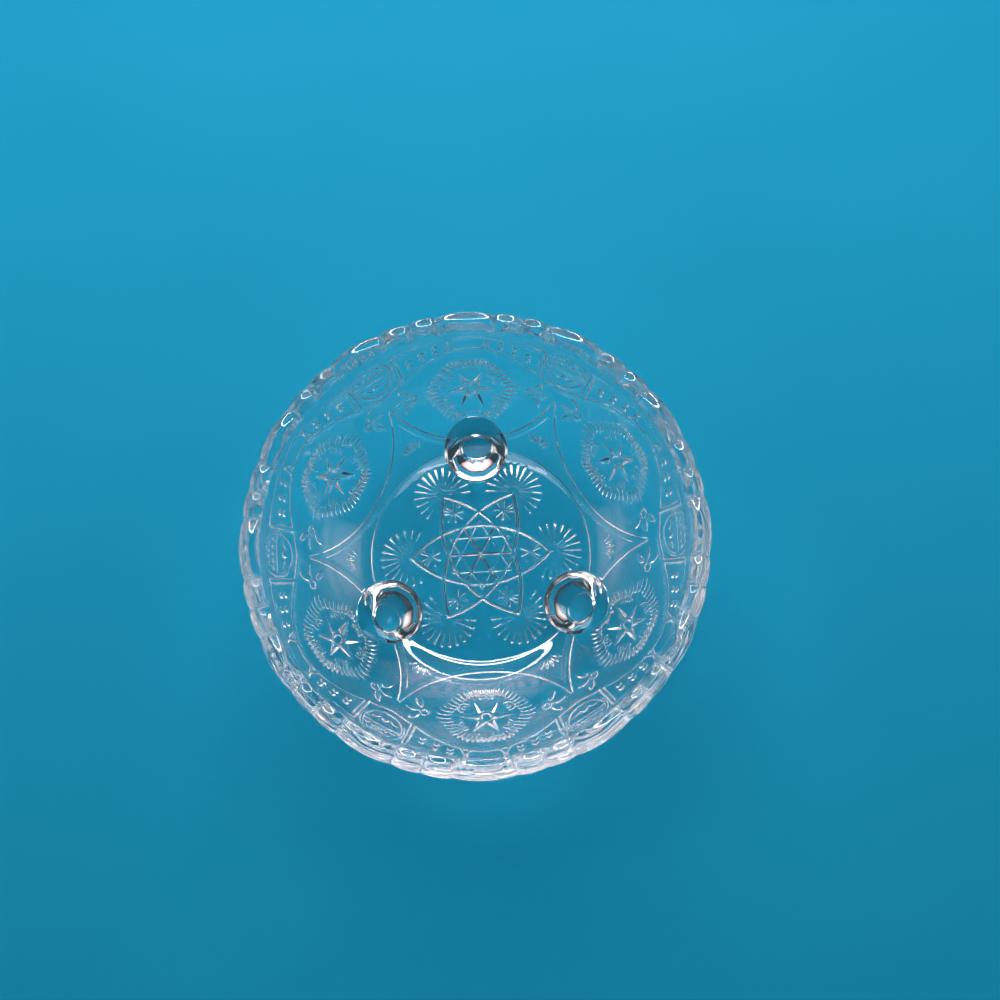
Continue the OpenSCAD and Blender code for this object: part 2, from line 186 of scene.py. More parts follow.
@dataclass
class BowlForm:
    """Turned form of the bowl: a ball outside, a smaller ball and a flat floor inside, a scalloped lip."""

    rim_r: float
    rim_z: float
    base_z: float
    base_r: float = 50 * MM
    wall: float = 5 * MM
    floor: float = 6 * MM
    floor_round: float = 25 * MM
    large_scallops: int = 12
    notch_drop: float = 1.8 * MM
    small_drop: float = 0.5 * MM
    flute_depth: float = 0.65 * MM
    small_inset: float = 0.3 * MM
    edge_h: float = 2.9 * MM
    rim_t: float = 8.5 * MM
    groove_half: float = 1.0 * MM
    groove_depth: float = 0.8 * MM
    ball_r: float = field(init=False)
    ball_z: float = field(init=False)

    def __post_init__(self) -> None:
        """Works out the ball that runs through the edge of the underside and the foot of the rim's edge."""
        rise = self.rim_z - self.edge_h - self.base_z
        ball_rise = (self.rim_r**2 + rise**2 - self.base_r**2) / (2 * rise)
        self.ball_r = math.hypot(self.base_r, ball_rise)
        self.ball_z = self.base_z + ball_rise

    def angle(self, out: float) -> float:
        """Angle from straight down, at the middle of the ball, of the wall this far from the axis."""
        return math.asin(out / self.ball_r)

    def on_wall(self, way: Array, azimuth: float, out: float) -> tuple[Array, Array]:
        """Flat coordinates about a point of the wall.

        Args:
            way: Unit vectors from the middle of the ball.
            azimuth: Azimuth of the point from the middle of the flower, in degrees.
            out: Distance of the point from the axis.

        Returns:
            Distance round the bowl and distance up the wall.
        """
        turn = math.radians(azimuth)
        across = unit(math.pi / 2, turn + math.pi / 2)
        up = unit(self.angle(out) + math.pi / 2, turn)
        return self.ball_r * (way @ across), self.ball_r * (way @ up)

    def line_distance(self, way: Array, start: Pair, end: Pair) -> Array:
        """Distance from the shortest line over the wall between two points.

        Args:
            way: Unit vectors from the middle of the ball.
            start: Azimuth in degrees and distance from the axis of one end.
            end: The same for the other end.

        Returns:
            Distance from the line, measured round its ends past them.
        """
        a, b = (unit(self.angle(out), math.radians(azimuth)) for azimuth, out in (start, end))
        along = (b - a) / np.linalg.norm(b - a)
        side = np.cross(a, b)
        side /= np.linalg.norm(side)
        half = np.linalg.norm(b - a) / 2
        past = np.clip(np.abs((way - (a + b) / 2) @ along) - half, 0, None)
        return self.ball_r * np.hypot(way @ side, past)

    def underside(self, x: Array, y: Array) -> Array:
        """Height of the plain outer face at a place in plan."""
        ball = self.ball_z - np.sqrt(np.clip(self.ball_r**2 - np.hypot(x, y) ** 2, 0, None))
        return np.where(np.hypot(x, y) <= self.base_r, self.base_z, ball)

    def scallops(self, azimuth: Array) -> tuple[Array, Array]:
        """Fall and inset of the rim, where two small scallops follow each large one.

        Args:
            azimuth: Azimuth round the bowl, in radians, with a large scallop at 0.

        Returns:
            Fall below the highest crest, and inset from the widest.
        """
        step = 2 * math.pi / self.large_scallops
        large_half = step / 4
        small_half = step / 8
        turn = np.abs(fold(azimuth, step))
        large = turn <= large_half
        share = np.where(large, turn / large_half, (turn - large_half - small_half) / small_half) ** 2
        low = np.where(large, 0, self.small_drop)
        inset = np.where(large, 0, self.small_inset)
        from_notch = np.minimum(np.abs(turn - large_half), step / 2 - turn) * self.rim_r
        groove = self.groove_depth * roof(from_notch, self.groove_half)
        fall = low + (self.notch_drop - low) * share + groove
        return fall, inset + (self.flute_depth - inset) * share


@dataclass(frozen=True)
class Flower:
    """Hexagonal medallion: ribbed fringe, six petals, a ridged six-point star and a centre ring."""

    out: float = 73.5 * MM
    half_w: float = 25.5 * MM
    half_h: float = 18.4 * MM
    top_share: float = 0.42
    blunt_share: float = 0.95
    corner_power: int = 12
    fringe_in: float = 0.64
    fringe_full: float = 0.70
    fringe_fade: float = 0.80
    ribs: int = 48
    rib_h: float = 1.25 * MM
    star_r: float = 12.2 * MM
    star_waist: float = 0.36
    star_h: float = 1.5 * MM
    star_slope: float = 0.95
    star_full: float = 4 * MM
    ring_r: float = 2.6 * MM
    ring_w: float = 1.1 * MM
    petal_at: float = 11.0 * MM
    petal_half_l: float = 3.4 * MM
    petal_half_w: float = 3.3 * MM
    petal_h: float = 0.85 * MM
    petal_arcs: tuple[Pair, ...] = ((0.8, 1.0), (0.3, 0.8))
    petal_arc_half: float = 0.26
    petal_open: Pair = (-0.5, 0.1)

    def height(self, form: BowlForm, way: Array) -> Array:
        """Relief of half a flower.

        Args:
            form: The bowl that carries it.
            way: Unit vectors from the middle of the ball, with the flower at azimuth 0.

        Returns:
            Height above the plain wall.
        """
        u, v = form.on_wall(way, 0, self.out)
        reach = np.hypot(u, v)
        turn = np.arctan2(v, u)
        share = self.outline_share(u, v)
        window = ramp(share, self.fringe_in, self.fringe_full) * ramp(-share, -1.0, -self.fringe_fade)
        rows = wave(turn * self.ribs / (2 * math.pi) + 0.5)
        fringe = self.rib_h * np.clip(rows + window - 1, 0, 1)
        return highest(fringe, self.star(reach, turn), self.petals(reach, turn))

    def outline_share(self, u: Array, v: Array) -> Array:
        """Share of the way from the middle of the flower to its rounded hexagon outline.

        Args:
            u: Distance round the bowl from its middle.
            v: Distance up the wall.

        Returns:
            0 in the middle and 1 on the outline.
        """
        flat = np.abs(v) / self.half_h
        lean = self.half_w * (1 - self.top_share)
        slant = (np.abs(u) * self.half_h + np.abs(v) * lean) / (self.half_w * self.half_h)
        blunt = np.hypot(u, v) / (self.blunt_share * self.half_w)
        power = self.corner_power
        return (flat**power + slant**power + blunt**power) ** (1 / power)

    def star(self, reach: Array, turn: Array) -> Array:
        """Ridged star with a hollow ring in its middle.

        Args:
            reach: Distance from the middle of the flower.
            turn: Angle round it.

        Returns:
            Height above the plain wall.
        """
        angle = fold(turn, SECTOR)
        waist = self.star_r * self.star_waist
        edge = np.array([waist * math.cos(SECTOR / 2) - self.star_r, waist * math.sin(SECTOR / 2)])
        edge /= np.linalg.norm(edge)
        inside = (self.star_r - reach * np.cos(angle)) * edge[1] + np.abs(reach * np.sin(angle)) * edge[0]
        star = np.clip(inside * self.star_slope, 0, self.star_h) * ramp(reach, self.ring_r, self.star_full)
        ring = self.star_h * roof(reach - self.ring_r, self.ring_w)
        return highest(star, ring)

    def petals(self, reach: Array, turn: Array) -> Array:
        """Six shell-like petals between the star's points, each of nested arcs that open inwards.

        Args:
            reach: Distance from the middle of the flower.
            turn: Angle round it.

        Returns:
            Height above the plain wall.
        """
        angle = fold(turn + SECTOR / 2, SECTOR)
        along = (reach * np.cos(angle) - self.petal_at) / self.petal_half_l
        across = reach * np.sin(angle) / self.petal_half_w
        share = np.hypot(along, across)
        arcs = highest(*(level * roof(share - at, self.petal_arc_half) for at, level in self.petal_arcs))
        return self.petal_h * arcs * ramp(along, *self.petal_open)


@dataclass(frozen=True)
class Button:
    """Round button: a rim, a bar across it, a diamond grid over the bar and two scrolls below."""

    out: float = 86.2 * MM
    radius: float = 10.25 * MM
    rim_w: float = 2.0 * MM
    bar_half: float = 1.2 * MM
    grid_pitch: float = 2.6 * MM
    grid_fade: float = 0.4 * MM
    ridge_h: float = 1.1 * MM
    grid_h: float = 1.0 * MM
    lean: float = SECTOR / 2
    scroll_at: float = 4.2 * MM
    scroll_len: float = 5.4 * MM
    scroll_w: float = 2.2 * MM
    bead_r: float = 1.5 * MM

    def height(self, form: BowlForm, way: Array) -> Array:
        """Relief of half a button, at the edge of the sector.

        Args:
            form: The bowl that carries it.
            way: Unit vectors from the middle of the ball, with the flower at azimuth 0.

        Returns:
            Height above the plain wall.
        """
        u, v = form.on_wall(way, BUTTON_AT, self.out)
        reach = np.hypot(u, v)
        face_r = self.radius - self.rim_w
        rim = self.ridge_h * roof(reach - self.radius + self.rim_w / 2, self.rim_w / 2)
        bar = self.ridge_h * roof(v, self.bar_half) * (reach < face_r)
        grid = self.diamonds(u, v) * ramp(-reach, -face_r, self.grid_fade - face_r) * (v > self.bar_half)
        scrolls = self.scrolls(u, v) * (reach < face_r)
        return highest(rim, bar, grid, scrolls)

    def diamonds(self, u: Array, v: Array) -> Array:
        """Grid of small pyramids between crossing cuts."""
        cuts = [wave(turned(u, v, lean)[0] / self.grid_pitch) for lean in (self.lean, -self.lean)]
        return self.grid_h * (1 - highest(*cuts))

    def scrolls(self, u: Array, v: Array) -> Array:
        """Bead between two leaning leaves.

        Args:
            u: Distance round the bowl from its middle.
            v: Distance up the wall.

        Returns:
            Height above the plain wall.
        """
        drop = v + self.scroll_at
        bead = dome(np.hypot(u, drop), self.bead_r)
        along, across = turned(np.abs(u) - self.scroll_at, drop, self.lean)
        depth = oval_depth(along, across, self.scroll_len, self.scroll_w)
        return self.ridge_h * highest(bead, np.clip(depth / (self.scroll_w / 2), 0, 1))


@dataclass(frozen=True)
class BeadBand:
    """Two ridges round the bowl under the rim, with crosses and double beads between them."""

    top_out: float = 91.4 * MM
    top_end_out: float = 88.8 * MM
    mid_out: float = 87.2 * MM
    end_out: float = 81 * MM
    bend: float = 1.5
    steps: int = 6
    dip_out: float = 79.3 * MM
    end_at: float = 22.1
    cross_at: float = 5.45
    cross_half: float = 1.2
    beads: int = 3
    bead_r: float = 1.2 * MM
    bead_h: float = 1.15 * MM
    bead_step: float = 1.4 * MM
    ridge_half: float = 1.2 * MM
    ridge_h: float = 0.65 * MM
    bar_half: float = 1.4 * MM
    bar_h: float = 1.1 * MM
    cross_w: float = 0.95 * MM

    def low(self, at: float) -> Pair:
        """Azimuth and distance from the axis of the lower ridge, on the way to the button."""
        return at, self.mid_out + (self.end_out - self.mid_out) * (at / self.end_at) ** self.bend

    def top(self, at: float) -> Pair:
        """Azimuth and distance from the axis of the upper ridge, on the way to the button."""
        return at, self.top_out + (self.top_end_out - self.top_out) * at / self.end_at

    def height(self, form: BowlForm, way: Array) -> Array:
        """Relief of the band over half a sector.

        Args:
            form: The bowl that carries it.
            way: Unit vectors from the middle of the ball, with the flower at azimuth 0.

        Returns:
            Height above the plain wall.
        """
        end = self.end_at
        stops = [end * k / self.steps for k in range(self.steps + 1)]
        lines = [(self.low(first), self.low(last)) for first, last in zip(stops, stops[1:])]
        lines.append((self.low(end), (BUTTON_AT, self.dip_out)))
        lines.append((self.top(0), self.top(end)))
        reliefs = [self.ridge_h * dome(form.line_distance(way, *line), self.ridge_half) for line in lines]
        side = form.line_distance(way, self.low(end), self.top(end))
        reliefs.append(self.bar_h * bow(side, self.bar_half))
        for lean in (-self.cross_half, self.cross_half):
            bar = form.line_distance(way, self.low(self.cross_at - lean), self.top(self.cross_at + lean))
            reliefs.append(self.bead_h * roof(bar, self.cross_w))
        for k in range(1, self.beads + 1):
            at = self.cross_at + k * (end - self.cross_at) / (self.beads + 1)
            u, v = form.on_wall(way, at, (self.low(at)[1] + self.top(at)[1]) / 2)
            reliefs.append(self.bead_h * dome(np.hypot(u, np.abs(v) - self.bead_step), self.bead_r))
        return highest(*reliefs)


@dataclass(frozen=True)
class Swags:
    """Chain of hanging arcs that meet in points under the buttons."""

    foot_out: float = 52.7 * MM
    peak_out: float = 72.8 * MM
    half_w: float = 1.7 * MM
    side_w: float = 0.8 * MM
    ridge_h: float = 0.9 * MM

    def height(self, form: BowlForm, way: Array) -> Array:
        """Relief of half a swag.

        Args:
            form: The bowl that carries it.
            way: Unit vectors from the middle of the ball, with the flower at azimuth 0.

        Returns:
            Height above the plain wall.
        """
        foot = form.angle(self.foot_out)
        peak = form.angle(self.peak_out)
        mid = math.atan2(
            math.cos(foot) - math.cos(peak),
            math.sin(peak) * math.cos(SECTOR / 2) - math.sin(foot),
        )
        u, v = form.on_wall(way, 0, form.ball_r * math.sin(mid))
        from_arc = np.hypot(u, v) - form.ball_r * math.sin(mid - foot)
        below_peak = -way[..., 2] > math.cos(peak + 2 * self.half_w / form.ball_r)
        edge = np.clip((self.half_w - np.abs(from_arc)) / self.side_w, 0, 1)
        return self.ridge_h * edge * below_peak


@dataclass(frozen=True)
class LeafSprigs:
    """Small ring with three leaves that spread from it towards a button."""

    out: float = 75 * MM
    at: float = 20.8
    ring_r: float = 1.6 * MM
    ring_w: float = 0.9 * MM
    fan: Fan = Fan(3, 100, 2.05 * MM, 8.85 * MM)
    leaf_w: float = 3.0 * MM
    side_w: float = 0.75 * MM
    ridge_h: float = 0.9 * MM

    def height(self, form: BowlForm, way: Array) -> Array:
        """Relief of one sprig.

        Args:
            form: The bowl that carries it.
            way: Unit vectors from the middle of the ball, with the flower at azimuth 0.

        Returns:
            Height above the plain wall.
        """
        u, v = form.on_wall(way, self.at, self.out)
        ring = roof(np.hypot(u, v) - self.ring_r, self.ring_w)
        depth = self.fan.leaves(u, v, self.leaf_w)
        return self.ridge_h * highest(ring, np.clip(depth / self.side_w, 0, 1))


@dataclass(frozen=True)
class SpandrelFans:
    """Fan of short rays in the curved triangle between two swags and the base ring."""

    out: float = 55 * MM
    fan: Fan = Fan(5, 90, 2.6 * MM, 8.4 * MM)
    ray_w: float = 1.8 * MM
    ridge_h: float = 1.0 * MM

    def height(self, form: BowlForm, way: Array) -> Array:
        """Relief of half a fan.

        Args:
            form: The bowl that carries it.
            way: Unit vectors from the middle of the ball, with the flower at azimuth 0.

        Returns:
            Height above the plain wall.
        """
        u, v = form.on_wall(way, BUTTON_AT, self.out)
        depth = self.fan.leaves(v, u, self.ray_w)
        return self.ridge_h * np.clip(depth / (self.ray_w / 2), 0, 1)


@dataclass(frozen=True)
class BaseStar:
    """Ornament under the floor: crossing ovals, a star in their middle, rosettes and fans of rays."""

    oval_tip: float = 33 * MM
    oval_half_w: float = 14.5 * MM
    ridge_half: float = 1.0 * MM
    ridge_h: float = 0.95 * MM
    star_tip: float = 15.7 * MM
    line_half: float = 0.55 * MM
    line_h: float = 0.6 * MM
    rosette_out: float = 22.8 * MM
    rosette: Fan = Fan(8, 315, 0.0, 4.5 * MM)
    rosette_tip: Fan = Fan(2, 90, 0.0, 4.5 * MM)
    ray_half: float = 0.5 * MM
    ray_h: float = 0.55 * MM
    fan: Fan = Fan(15, 230, 2.4 * MM, 12.6 * MM)
    fan_half: float = 0.7 * MM
    fan_h: float = 0.8 * MM
    fan_taper: float = 0.2

    def height(self, x: Array, y: Array) -> Array:
        """Relief under the floor.

        Args:
            x: Place in plan, with the point of an oval along X.
            y: Place in plan, across it.

        Returns:
            Height below the plain underside.
        """
        within = np.hypot(x, y) < self.star_tip
        reliefs = []
        for k in range(REPEATS):
            along, across = turned(x, y, k * SECTOR)
            depth = oval_depth(along, across, 2 * self.oval_tip, 2 * self.oval_half_w)
            reliefs.append(self.ridge_h * roof(depth - self.ridge_half, self.ridge_half))
            spoke = roof(across, self.line_half) * (np.abs(along) < self.star_tip)
            chord = roof(turned(x, y, (k + 0.5) * SECTOR)[0] - self.star_tip / 2, self.line_half) * within
            reliefs.append(self.line_h * highest(spoke, chord))
            reliefs.append(self.rays(along, across))
        return highest(*reliefs)

    def rays(self, x: Array, y: Array) -> Array:
        """Rosette inside the point of an oval, with two rays more at its outer side, and the fan round it.

        Args:
            x: Place in plan, along the oval.
            y: Place across it.

        Returns:
            Height below the plain underside.
        """
        back = self.rosette_out - x
        rosette = self.rosette.ridges(back, y, self.ray_half)
        tip = self.rosette_tip.ridges(-back, y, self.ray_half)
        fan = self.fan.ridges(x - self.oval_tip, y, self.fan_half, self.fan_taper)
        return highest(self.ray_h * highest(rosette, tip), self.fan_h * fan)


def set_inputs(node: Node, values: dict[str, float | tuple[float, ...]]) -> None:
    """Sets plain values on the inputs of a node."""
    for label, value in values.items():
        node.inputs[label].default_value = value


def connect(tree: NodeTree, *links: tuple[Node, str, Node, str]) -> None:
    """Links nodes.

    Args:
        tree: The tree that holds them.
        links: For each link the node and output it leaves, and the node and input it enters.
    """
    for start, output, end, entry in links:
        tree.links.new(start.outputs[output], end.inputs[entry])


def math_node(tree: NodeTree, operation: str, *operands: NodeSocket | float) -> NodeSocket:
    """Adds a math node.

    Args:
        tree: The tree that takes it.
        operation: What it works out.
        operands: Outputs of other nodes, or plain values.

    Returns:
        Its output.
    """
    node = tree.nodes.new("ShaderNodeMath")
    node.operation = operation
    for entry, operand in zip(node.inputs, operands):
        if isinstance(operand, NodeSocket):
            tree.links.new(operand, entry)
        else:
            entry.default_value = operand
    return node.outputs["Value"]


def colour_mix(nodes: bpy.types.Nodes, first: Triple, second: Triple) -> Node:
    """Adds a node that mixes two colours.

    Args:
        nodes: The nodes that it joins.
        first: Colour at factor 0.
        second: Colour at factor 1.

    Returns:
        The node.
    """
    mix = nodes.new("ShaderNodeMix")
    mix.data_type = "RGBA"
    set_inputs(mix, {"A": (*first, 1), "B": (*second, 1)})
    return mix


def new_material(name: str) -> tuple[Material, Node]:
    """Starts a material.

    Args:
        name: Name of the material.

    Returns:
        The material and its main shader.
    """
    material = bpy.data.materials.new(name)
    material.use_nodes = True
    return material, material.node_tree.nodes["Principled BSDF"]


def linked(name: str, data: bpy.types.ID) -> Object:
    """Makes an object of its data and links it to the scene.

    Args:
        name: Name of the object.
        data: Its mesh, light or camera.

    Returns:
        The object.
    """
    obj = bpy.data.objects.new(name, data)
    bpy.context.scene.collection.objects.link(obj)
    return obj


def sheet(name: str, points: list[Triple], faces: list[tuple[int, ...]], finish: Material) -> Object:
    """Makes an object of flat faces with one material.

    Args:
        name: Name of the object.
        points: Its corners.
        faces: Corners of each face.
        finish: Its material.

    Returns:
        The object.
    """
    mesh = bpy.data.meshes.new(name)
    mesh.from_pydata(points, [], faces)
    mesh.materials.append(finish)
    return linked(name, mesh)


def mould_surface() -> NodeTree:
    """Shared effect of pressed glass: slow waves and fine ripples left by the mould, and faint haze.

    Returns:
        A group that puts out the height of the waves and the roughness.
    """
    scales = {"Wave Scale": 60.0, "Ripple Scale": 380.0, "Haze Scale": 25.0}
    levels = {"Ripples": 0.12, "Clear": 0.0, "Hazy": 0.03}
    group = bpy.data.node_groups.new("mould_surface", "ShaderNodeTree")
    for label, value in (scales | levels).items():
        socket = group.interface.new_socket(label, in_out="INPUT", socket_type="NodeSocketFloat")
        socket.default_value = value
    for label in ("Waves", "Roughness"):
        group.interface.new_socket(label, in_out="OUTPUT", socket_type="NodeSocketFloat")
    given = group.nodes.new("NodeGroupInput")
    made = group.nodes.new("NodeGroupOutput")
    place = group.nodes.new("ShaderNodeTexCoord")
    noises = []
    for scale, detail in zip(scales, (2.0, 1.0, 4.0)):
        noise = group.nodes.new("ShaderNodeTexNoise")
        set_inputs(noise, {"Detail": detail})
        connect(group, (place, "Object", noise, "Vector"), (given, scale, noise, "Scale"))
        noises.append(noise)
    waves, ripples, haze = noises
    parts = (ripples.outputs["Fac"], given.outputs["Ripples"], waves.outputs["Fac"])
    group.links.new(math_node(group, "MULTIPLY_ADD", *parts), made.inputs["Waves"])
    grade = group.nodes.new("ShaderNodeMapRange")
    set_inputs(grade, {"From Min": 0.4, "From Max": 0.75})
    connect(
        group,
        (haze, "Fac", grade, "Value"),
        (given, "Clear", grade, "To Min"),
        (given, "Hazy", grade, "To Max"),
        (grade, "Result", made, "Roughness"),
    )
    return group


@dataclass(frozen=True)
class GlassFinish:
    """Clear pressed glass."""

    name: str
    tint: Triple = (0.985, 0.992, 0.992)
    ior: float = 1.5
    wave_scale: float = 60.0
    wave_strength: float = 0.12
    wave_depth: float = 0.0004
    hazy: float = 0.02

    def build(self, surface: NodeTree) -> Material:
        """Makes the material.

        Args:
            surface: The shared group of mould waves and haze.

        Returns:
            The glass material.
        """
        material, shader = new_material(self.name)
        tree = material.node_tree
        set_inputs(shader, {"Base Color": (*self.tint, 1), "Metallic": 0})
        set_inputs(shader, {"IOR": self.ior, "Transmission Weight": 1})
        effect = tree.nodes.new("ShaderNodeGroup")
        effect.node_tree = surface
        set_inputs(effect, {"Wave Scale": self.wave_scale, "Hazy": self.hazy})
        bump = tree.nodes.new("ShaderNodeBump")
        set_inputs(bump, {"Strength": self.wave_strength, "Distance": self.wave_depth})
        connect(
            tree,
            (effect, "Waves", bump, "Height"),
            (effect, "Roughness", shader, "Roughness"),
            (bump, "Normal", shader, "Normal"),
        )
        return material


@dataclass(frozen=True)
class WeldFinish:
    """See-through face where two pieces are one glass inside."""

    name: str = "weld"

    def build(self) -> Material:
        """Makes the material, which lets everything through.

        Returns:
            The see-through material.
        """
        material, shader = new_material(self.name)
        nodes = material.node_tree.nodes
        nodes.remove(shader)
        clear = nodes.new("ShaderNodeBsdfTransparent")
        connect(material.node_tree, (clear, "BSDF", nodes["Material Output"], "Surface"))
        return material


@dataclass(frozen=True)
class FloorFinish:
    """Matt blue paper with faint unevenness."""

    name: str = "floor_paper"
    light: Triple = (0.015, 0.47, 0.78)
    dark: Triple = (0.012, 0.43, 0.73)
    scale: float = 9.0
    roughness: float = 0.9
    gloss: float = 0.1

    def build(self) -> Material:
        """Makes the material, with slow changes of tone.

        Returns:
            The matt material.
        """
        material, shader = new_material(self.name)
        tree = material.node_tree
        set_inputs(shader, {"Roughness": self.roughness, "Specular IOR Level": self.gloss})
        place = tree.nodes.new("ShaderNodeTexCoord")
        noise = tree.nodes.new("ShaderNodeTexNoise")
        set_inputs(noise, {"Scale": self.scale})
        tone = colour_mix(tree.nodes, self.dark, self.light)
        connect(
            tree,
            (place, "Object", noise, "Vector"),
            (noise, "Fac", tone, "Factor"),
            (tone, "Result", shader, "Base Color"),
        )
        return material


@dataclass(frozen=True)
class GlowFinish:
    """Glowing face of a lamp."""

    name: str
    colour: Triple
    power: float

    def build(self) -> Material:
        """Makes the material, which glows evenly.

        Returns:
            The glowing material.
        """
        material, shader = new_material(self.name)
        set_inputs(shader, {"Base Color": (0, 0, 0, 1), "Emission Color": (*self.colour, 1)})
        set_inputs(shader, {"Emission Strength": self.power})
        return material

    def build_soft(self) -> Material:
        """Makes the material for an upright panel, fading from its middle to nothing at its edges.

        Returns:
            The glowing material.
        """
        material = self.build()
        tree = material.node_tree
        place = tree.nodes.new("ShaderNodeTexCoord")
        split = tree.nodes.new("ShaderNodeSeparateXYZ")
        connect(tree, (place, "Generated", split, "Vector"))
        middle_level = 0.25
        sides = []
        for axis in ("X", "Z"):
            share = split.outputs[axis]
            sides.append(math_node(tree, "MULTIPLY", share, math_node(tree, "SUBTRACT", 1.0, share)))
        both = math_node(tree, "MULTIPLY", *sides)
        glow = math_node(tree, "MULTIPLY", both, self.power / middle_level**2)
        tree.links.new(glow, tree.nodes["Principled BSDF"].inputs["Emission Strength"])
        return material


@dataclass
class Lathe:
    """Closed mesh on rings of points about an axis, from a pole below to a pole on the other side."""

    rings: Array
    first_pole: Array
    last_pole: Array

    def build(self, name: str, materials: list[Material], weld: Array) -> Object:
        """Makes the mesh object with smooth shading and an unrolled map.

        Args:
            name: Name of the object.
            materials: The glass, then the weld.
            weld: For each ring but the last, and each point round, whether the face after it is a weld.

        Returns:
            The object, linked to the scene.
        """
        count, around = self.rings.shape[:2]
        points = np.concatenate([self.rings.reshape(-1, 3), [self.first_pole, self.last_pole]])
        index = np.arange(count * around).reshape(count, around)
        nxt = np.roll(index, -1, axis=1)
        quads = np.stack([index[:-1], nxt[:-1], nxt[1:], index[1:]], axis=-1).reshape(-1, 4)
        first = np.stack([np.full(around, count * around), nxt[0], index[0]], axis=-1)
        last = np.stack([index[-1], nxt[-1], np.full(around, count * around + 1)], axis=-1)
        corners = np.concatenate([quads.ravel(), first.ravel(), last.ravel()]).astype(np.int32)
        sizes = np.concatenate([np.full(len(quads), 4), np.full(2 * around, 3)])
        starts = np.concatenate([[0], np.cumsum(sizes)[:-1]]).astype(np.int32)
        mesh = bpy.data.meshes.new(name)
        mesh.vertices.add(len(points))
        mesh.vertices.foreach_set("co", points.astype(np.float32).ravel())
        mesh.loops.add(len(corners))
        mesh.loops.foreach_set("vertex_index", corners)
        mesh.polygons.add(len(sizes))
        mesh.polygons.foreach_set("loop_start", starts)
        chosen = np.concatenate([weld.ravel(), np.zeros(around, bool), np.full(around, weld[-1].all())])
        mesh.update(calc_edges=True)
        mesh.polygons.foreach_set("material_index", chosen.astype(np.int32))
        mesh.polygons.foreach_set("use_smooth", np.ones(len(sizes), bool))
        layer = mesh.uv_layers.new(name="OFBake")
        layer.data.foreach_set("uv", self.unrolled(count, around).astype(np.float32).ravel())
        for material in materials:
            mesh.materials.append(material)
        return linked(name, mesh)

    @staticmethod
    def unrolled(count: int, around: int) -> Array:
        """Map that unrolls the rings.

        Args:
            count: Number of rings.
            around: Number of points on a ring.

        Returns:
            A place on the map for each face corner.
        """
        column = np.arange(around)[:, None]
        row = np.arange(1, count)[:, None, None]
        corners = [
            (column + [0, 1, 1, 0], row + [0, 0, 1, 1]),
            (column + [0.5, 1, 0], np.array([0, 1, 1])),
            (column + [0, 1, 0.5], np.array([count, count, count + 1])),
        ]
        places = []
        for across, up in corners:
            both = np.broadcast_arrays(across / around, up / (count + 1))
            places.append(np.stack(both, axis=-1).reshape(-1, 2))
        return np.concatenate(places)


